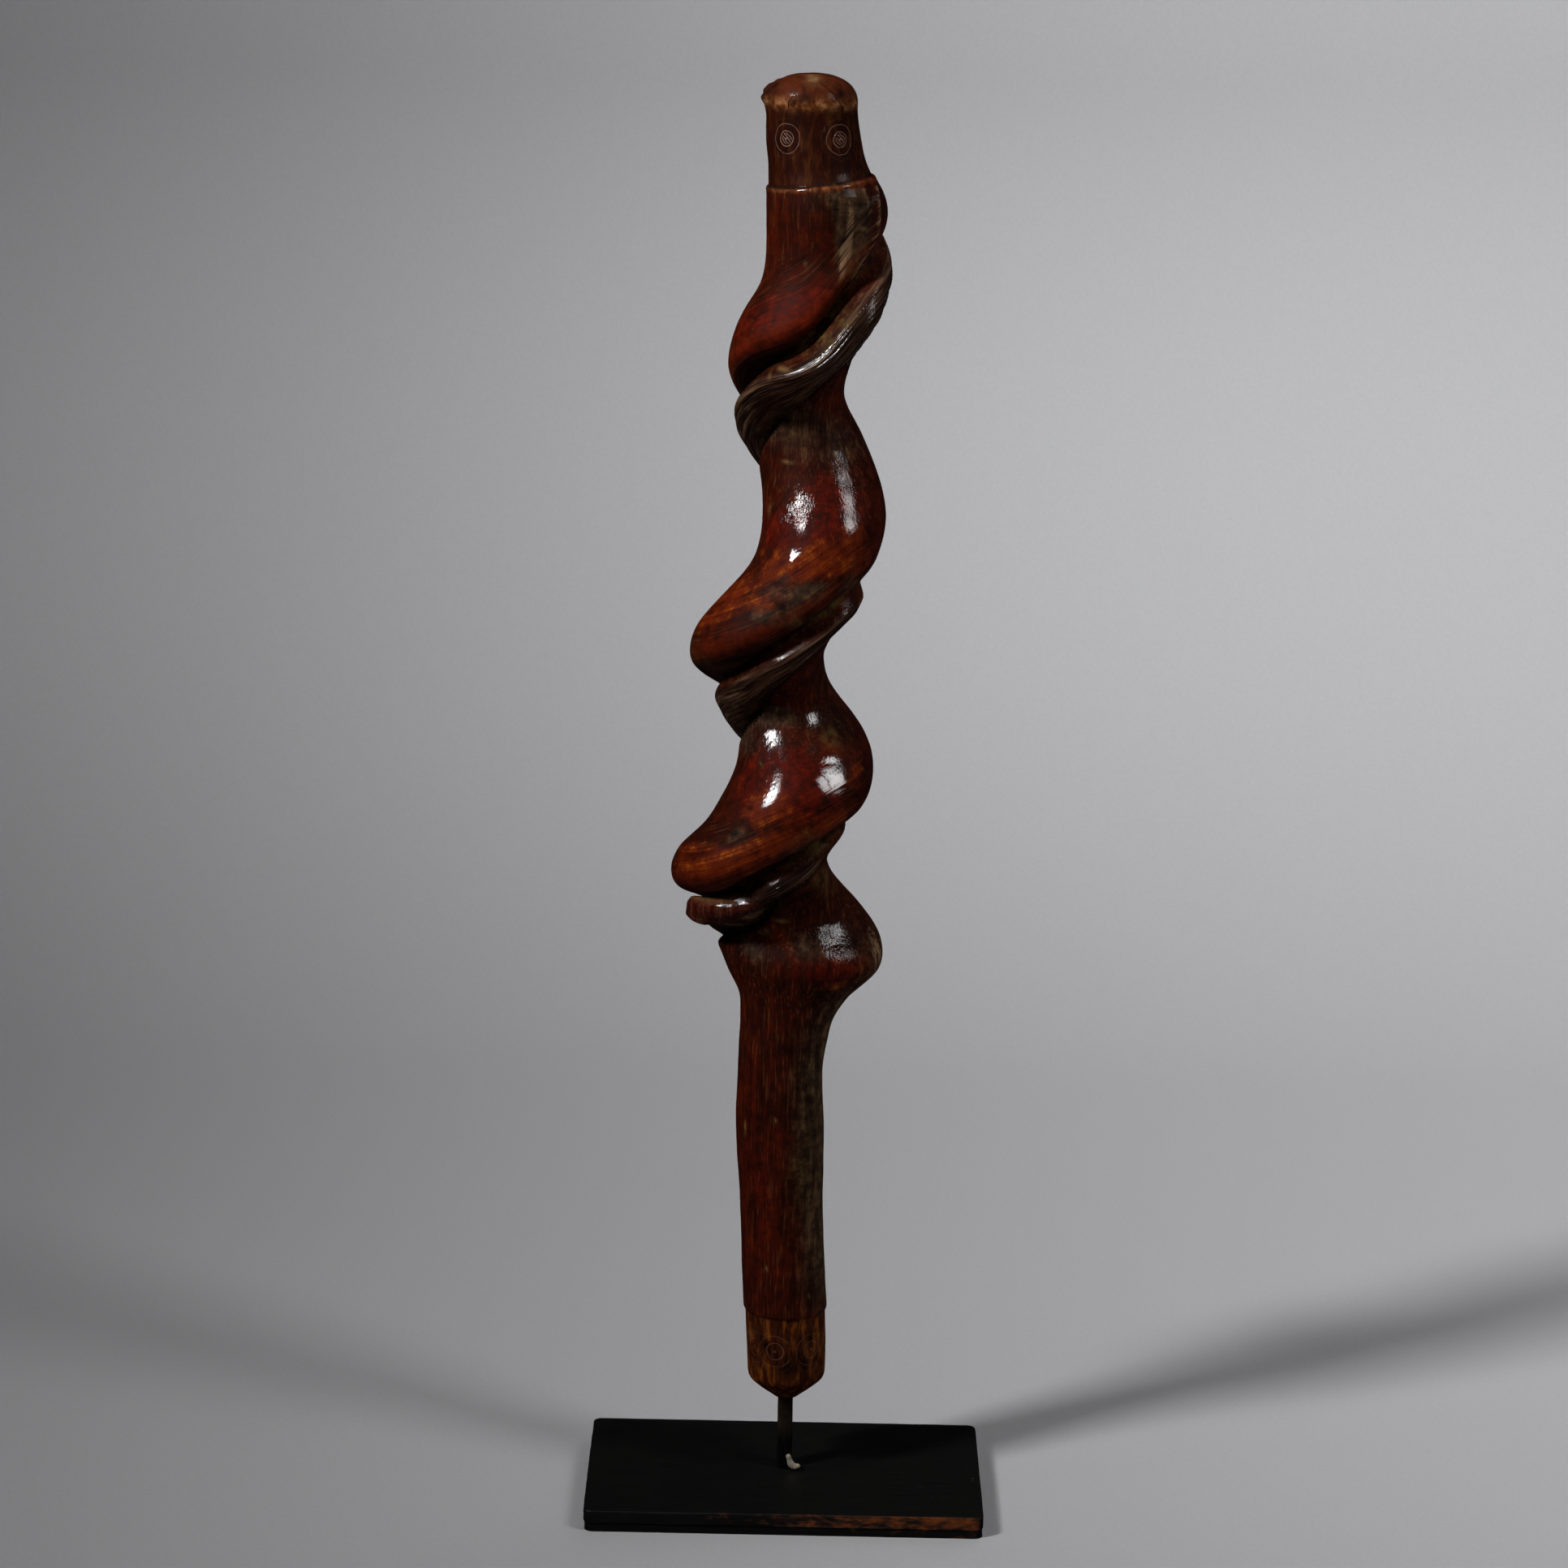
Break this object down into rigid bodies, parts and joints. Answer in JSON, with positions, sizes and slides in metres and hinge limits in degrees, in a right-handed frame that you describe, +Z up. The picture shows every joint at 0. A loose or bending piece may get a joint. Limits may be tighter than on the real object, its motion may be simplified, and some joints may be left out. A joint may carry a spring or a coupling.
{
  "type": "vine-twisted wooden staff on a display stand",
  "caption": "Short wooden staff with a deep natural vine screw, plain collared head and foot, standing on a square steel rod and a flat steel plate.",
  "frame": {"origin": "middle of the plate's underside, on the table", "axes": "+Z up along the staff, -Y towards the front that the picture shows, +X to the right seen from there"},
  "size_m": [0.1, 0.0608, 0.3591],
  "materials": {
    "staff_wood": "glossy red-brown polish with amber wear and dark grooves",
    "rod_steel": "dark browned steel, satin",
    "plate_steel": "black, satin, with a sheared and rusted edge",
    "wax": "dull grey"
  },
  "bodies": {
    "root": {"staff": "staff_wood", "stand_rod": "rod_steel", "stand_plate": "plate_steel", "wax_bead": "wax"}
  },
  "joints": []
}
